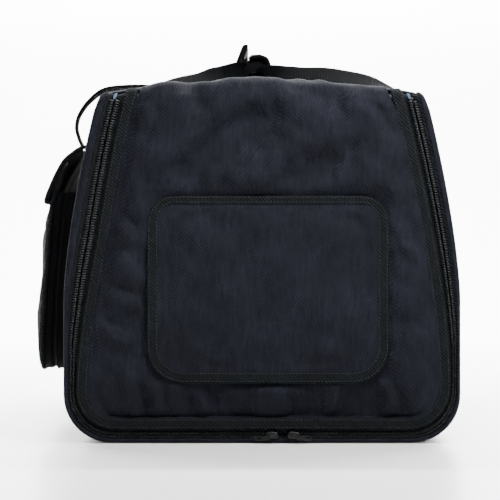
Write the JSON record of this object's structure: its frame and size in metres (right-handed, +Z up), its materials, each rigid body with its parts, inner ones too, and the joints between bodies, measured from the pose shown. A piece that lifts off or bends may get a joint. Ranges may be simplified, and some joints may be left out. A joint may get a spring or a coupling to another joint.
{
  "type": "film changing bag",
  "caption": "Padded box-shaped changing bag with a zip-bound end door, a bound flap over arm ports with sleeves, a gusseted side pocket and wrapped webbing handles.",
  "frame": {"origin": "centre of the flat base, on the surface the bag stands on", "axes": "+Z up; X across the bag, with the pocket at -X; Y along the bag, with the end door at -Y"},
  "size_m": [0.4379, 0.6064, 0.4246],
  "materials": {
    "twill": "woven twill",
    "binding": "woven tape",
    "webbing": "ribbed webbing",
    "black_cloth": "plain weave",
    "foam": "open cell foam",
    "board": "matte",
    "zip_nylon": "semi gloss",
    "zip_metal": "black enamel",
    "hook_loop": "hook and loop pile",
    "elastic": "ribbed elastic",
    "tape_end": "woven tape"
  },
  "bodies": {
    "bag_body": {"base_panel": "twill", "left_wall_panel": "twill", "right_wall_panel": "twill", "top_panel": "twill", "rear_panel": "twill", "base_foam": "foam", "left_wall_foam": "foam", "right_wall_foam": "foam", "top_foam": "foam", "rear_foam": "foam", "base_board": "board", "chamber_lining": "black_cloth", "rear_piping": "binding", "zip_rim_band": "twill", "top_corner_left": "twill", "top_corner_right": "twill", "zip_stringer_body": "zip_nylon", "zip_end_left": "tape_end", "zip_end_right": "tape_end", "handle_anchor_left_near": "webbing", "handle_anchor_left_far": "webbing", "handle_anchor_right_near": "webbing", "handle_anchor_right_far": "webbing", "pocket_gusset": "black_cloth", "pocket_front": "black_cloth", "pocket_piping": "binding", "pocket_loop_strip": "hook_loop"},
    "door": {"door_panel": "twill", "door_foam": "foam", "door_lining": "black_cloth", "door_binding": "binding", "zip_stringer_door": "zip_nylon", "arm_port_hem_left": "binding", "arm_port_hem_right": "binding", "sleeve_left": "black_cloth", "sleeve_right": "black_cloth", "cuff_left": "elastic", "cuff_right": "elastic", "door_loop_strip": "hook_loop", "flap_top_tape": "binding"},
    "port_flap": {"flap_panel": "twill", "flap_binding": "binding", "flap_hook_strip": "hook_loop"},
    "pocket_flap": {"pocket_flap_panel": "black_cloth", "pocket_flap_binding": "binding", "pocket_hook_strip": "hook_loop"},
    "handle_left": {"handle_strap_left": "webbing", "wrap_base_left": "black_cloth"},
    "handle_right": {"handle_strap_right": "webbing", "wrap_base_right": "black_cloth", "wrap_core": "black_cloth"},
    "wrap_left": {"wrap_flap_left": "black_cloth", "wrap_hook_strip": "hook_loop"},
    "wrap_right": {"wrap_flap_right": "black_cloth", "wrap_loop_strip": "hook_loop"},
    "zip_slider_left": {"slider_left": "zip_metal"},
    "zip_slider_right": {"slider_right": "zip_metal"},
    "zip_pull_left": {"pull_left": "zip_metal"},
    "zip_pull_right": {"pull_right": "zip_metal"}
  },
  "joints": [
    {"name": "door_hinge", "type": "hinge", "parent": "bag_body", "child": "door", "pos_m": [0, -0.3, 0.357], "axis": [-1, 0, 0], "range_deg": [0, 150]},
    {"name": "port_flap_hinge", "type": "hinge", "parent": "door", "child": "port_flap", "pos_m": [0.006, -0.3065, 0.238], "axis": [-1, 0, 0], "range_deg": [0, 130]},
    {"name": "pocket_flap_hinge", "type": "hinge", "parent": "bag_body", "child": "pocket_flap", "pos_m": [-0.1776, 0, 0.305], "axis": [0, 1, 0], "range_deg": [0, 30]},
    {"name": "handle_left_hinge", "type": "hinge", "parent": "bag_body", "child": "handle_left", "pos_m": [-0.1955, 0, 0.3075], "axis": [0, -1, 0], "range_deg": [0, 50]},
    {"name": "handle_right_hinge", "type": "hinge", "parent": "bag_body", "child": "handle_right", "pos_m": [0.18, 0, 0.3015], "axis": [0, 1, 0], "range_deg": [0, 150]},
    {"name": "wrap_left_hinge", "type": "hinge", "parent": "handle_left", "child": "wrap_left", "pos_m": [-0.0312, 0, 0.388], "axis": [0, -1, 0], "range_deg": [0, 110]},
    {"name": "wrap_right_hinge", "type": "hinge", "parent": "handle_right", "child": "wrap_right", "pos_m": [0.0125, 0, 0.388], "axis": [0, 1, 0], "range_deg": [0, 110]},
    {"name": "slider_left_slide", "type": "slide", "parent": "bag_body", "child": "zip_slider_left", "axis": [-1, 0, 0], "range_m": [0, 0.1]},
    {"name": "slider_right_slide", "type": "slide", "parent": "bag_body", "child": "zip_slider_right", "axis": [1, 0, 0], "range_m": [0, 0.1]},
    {"name": "pull_left_hinge", "type": "hinge", "parent": "zip_slider_left", "child": "zip_pull_left", "pos_m": [0.0095, -0.3042, 0.0054], "axis": [0, 0, 1], "range_deg": [0, 150]},
    {"name": "pull_right_hinge", "type": "hinge", "parent": "zip_slider_right", "child": "zip_pull_right", "pos_m": [0.0325, -0.3042, 0.0054], "axis": [0, 0, -1], "range_deg": [0, 150]}
  ]
}
